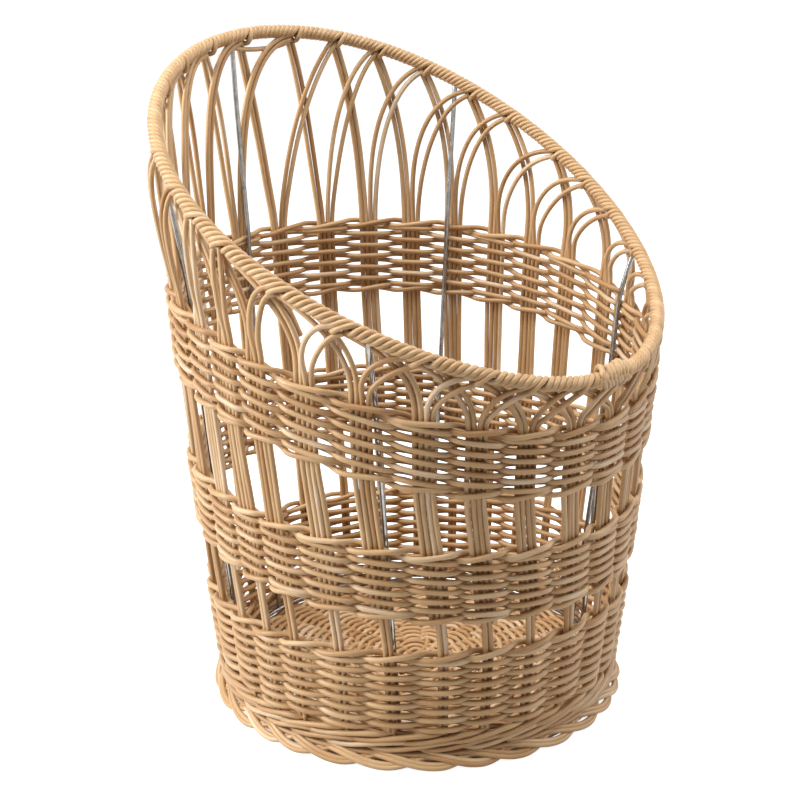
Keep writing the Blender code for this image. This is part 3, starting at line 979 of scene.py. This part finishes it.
# The floor's rows: the distance between them and the radius of the smallest, the radii from which
# they pass half and all of the sticks, and how they swing up and down and stray
FLOOR_PITCH = 0.0037
FLOOR_HUB = 0.0115
HALF_FROM = 0.033
ALL_FROM = 0.062
FLOOR_SWING = 0.0026
FLOOR_GRIP = 1.3
FLOOR_STRAY = 0.0003
FLOOR_WAVES = (2, 12)
FLOOR_THICKNESS = 1.1
FLOOR_SIDES = 6
POINTS_PER_STICK = 8


def sticks_at(radius):
    """How many sticks a row of the floor passes."""
    if radius > ALL_FROM:
        return FLOOR_STICKS
    if radius > HALF_FROM:
        return FLOOR_STICKS // 2
    return 2 * CROSS_CANES


def make_floor():
    """Rows of cane over and under sticks, round a cross in the middle of the floor."""
    chance = np.random.default_rng(FLOOR_SEED)
    strands = Strands()
    middle = (FLOOR_RISE + FLOOR_TOP) / 2
    outer = FOOT_RADIUS - FOOT_WIDTH - GAP - RADIUS
    facing = np.tile(UPWARD, (STICK_POINTS, 1))
    for number in range(FLOOR_STICKS):
        angle = FIRST_BUNDLE / 2 + TURN * number / FLOOR_STICKS
        start = STICK_START + STICK_STEP * (number % 2)
        radius = np.linspace(start, outer - STICK_END, STICK_POINTS)
        strands.sweep(place(angle, radius, middle), facing, RADIUS, random_tint(chance))
        angle += math.pi / FLOOR_STICKS
        path = place(angle, radius, middle - STICK_DROP)
        strands.sweep(path, facing, RADIUS, random_tint(chance))
    facing = np.tile(UPWARD, (CROSS_POINTS, 1))
    along = np.linspace(-CROSS_REACH, CROSS_REACH, CROSS_POINTS)
    for layer in (0, 1):
        height = np.full(CROSS_POINTS, middle + (layer - 0.5) * CANE * CROSS_FLATNESS)
        for number in range(CROSS_CANES):
            side = (number - (CROSS_CANES - 1) / 2) * CANE * CROSS_SPACING
            across = side * (1 + np.abs(along / SPLAY_AT) ** 3 * SPLAY)
            x, y = (along, across) if layer else (across, along)
            path = np.stack([x, y + AXIS_Y, height], -1)
            strands.sweep(path, facing, RADIUS * CROSS_FLATNESS, random_tint(chance))
    rows = int((outer - FLOOR_HUB) / FLOOR_PITCH) + 1
    for row in range(rows):
        radius = outer - FLOOR_PITCH * row
        sticks = sticks_at(radius)
        count = sticks * POINTS_PER_STICK
        angle = TURN * np.arange(count) / count
        turn = sticks / 2 * (angle - FIRST_BUNDLE / 2) + (row % 2) * math.pi
        height = middle + FLOOR_SWING * flattened(np.cos(turn), FLOOR_GRIP)
        path = place(angle, radius + FLOOR_STRAY * wobble(angle, chance, *FLOOR_WAVES), height)
        facing = np.tile(UPWARD, (count, 1))
        thickness = RADIUS * FLOOR_THICKNESS
        strands.sweep(path, facing, thickness, random_tint(chance), closed=True, sides=FLOOR_SIDES)
    strands.make("floor_weave", "cane", "base_floor")


# The stage: the floor's reach, shade, roughness and gloss, and how strongly the floor and the
# world show and shine
STAGE_REACH = 25
STAGE_SHADE = 0.5
STAGE_ROUGHNESS = 0.9
STAGE_GLOSS = 0.1
FLOOR_SEEN = 0.93
FLOOR_LIGHT = 0.0
WORLD_SEEN = 1.0
WORLD_LIGHT = 0.1
WHITE = (1, 1, 1, 1)

# Lamps: azimuth and elevation in degrees, distance, size and power. All look at one height
LAMPS = {
    "key_light": (145, 24, 2.4, 1.2, 72),
    "top_light": (200, 82, 2.2, 1.2, 50),
    "side_light": (325, 24, 2.6, 1.4, 34),
}
LAMP_TARGET = 0.25

# The camera: its focal length is in pixels of a picture of this width, and its distances are in
# radii of the base
PICTURE_WIDTH = 800
SENSOR_WIDTH = 36
FOCAL = 1626.3
DISTANCE = 7.992
SHIFT = -0.0821
RISE = 1.459
TILT = math.radians(18.26)
HEADING = math.radians(-44.85)
ROLL = math.radians(-0.31)


def make_stage():
    """A wide pale floor, and a white world round it."""
    mesh = bpy.data.meshes.new("studio_floor")
    corners = [(x * STAGE_REACH, y * STAGE_REACH, 0) for x, y in ((-1, -1), (1, -1), (1, 1), (-1, 1))]
    mesh.from_pydata(corners, [], [(0, 1, 2, 3)])
    material, nodes = new_material("studio_floor")
    nodes.constant("Base Color", (STAGE_SHADE, STAGE_SHADE, STAGE_SHADE, 1))
    nodes.constant("Roughness", STAGE_ROUGHNESS)
    nodes.constant("Specular IOR Level", STAGE_GLOSS)
    nodes.constant("Emission Color", WHITE)
    nodes.drive("Emission Strength", nodes.seen(FLOOR_LIGHT, FLOOR_SEEN))
    mesh.materials.append(material)
    floor = bpy.data.objects.new("studio_floor", mesh)
    bpy.context.collection.objects.link(floor)
    world = bpy.data.worlds.new("studio")
    bpy.context.scene.world = world
    nodes = Nodes(world, "Background")
    nodes.constant("Color", WHITE)
    nodes.drive("Strength", nodes.seen(WORLD_LIGHT, WORLD_SEEN))


def direction(azimuth, elevation):
    return Vector((
        math.cos(azimuth) * math.cos(elevation),
        math.sin(azimuth) * math.cos(elevation),
        math.sin(elevation),
    ))


def make_lamps():
    """Square soft lights that look at the middle of the basket."""
    for name, (azimuth, elevation, distance, size, power) in LAMPS.items():
        way = direction(math.radians(azimuth), math.radians(elevation))
        data = bpy.data.lights.new(name, "AREA")
        data.size = size
        data.energy = power
        light = bpy.data.objects.new(name, data)
        light.location = Vector((0, 0, LAMP_TARGET)) + way * distance
        light.rotation_euler = way.to_track_quat("Z", "Y").to_euler()
        bpy.context.collection.objects.link(light)


def make_camera():
    """The photograph's view, found from the rim, the bands and the foot."""
    right = Vector((math.cos(HEADING), math.sin(HEADING), 0))
    back = direction(HEADING - TURN / 4, TILT)
    up = back.cross(right)
    level = right * math.cos(ROLL) + up * math.sin(ROLL)
    upright_way = up * math.cos(ROLL) - right * math.sin(ROLL)
    spot = (right * SHIFT + Vector((0, 0, RISE)) + back * DISTANCE) * BASE_RADIUS
    spot += Vector((0, AXIS_Y, 0))
    data = bpy.data.cameras.new("photo_camera")
    data.sensor_width = SENSOR_WIDTH
    data.lens = SENSOR_WIDTH * FOCAL / PICTURE_WIDTH
    data.clip_start = 0.01
    data.clip_end = 100
    camera = bpy.data.objects.new("photo_camera", data)
    stance = Matrix((level, upright_way, back)).transposed().to_4x4()
    camera.matrix_world = Matrix.Translation(spot) @ stance
    bpy.context.collection.objects.link(camera)
    bpy.context.scene.camera = camera


bpy.context.scene.view_settings.view_transform = "Standard"
make_camera()
make_stage()
make_lamps()
make_bands()
make_stakes()
make_rim()
make_wire()
make_foot()
make_floor()
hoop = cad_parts["rim_hoop"]
for slot in hoop.material_slots:
    slot.material = LOOKS["steel"]
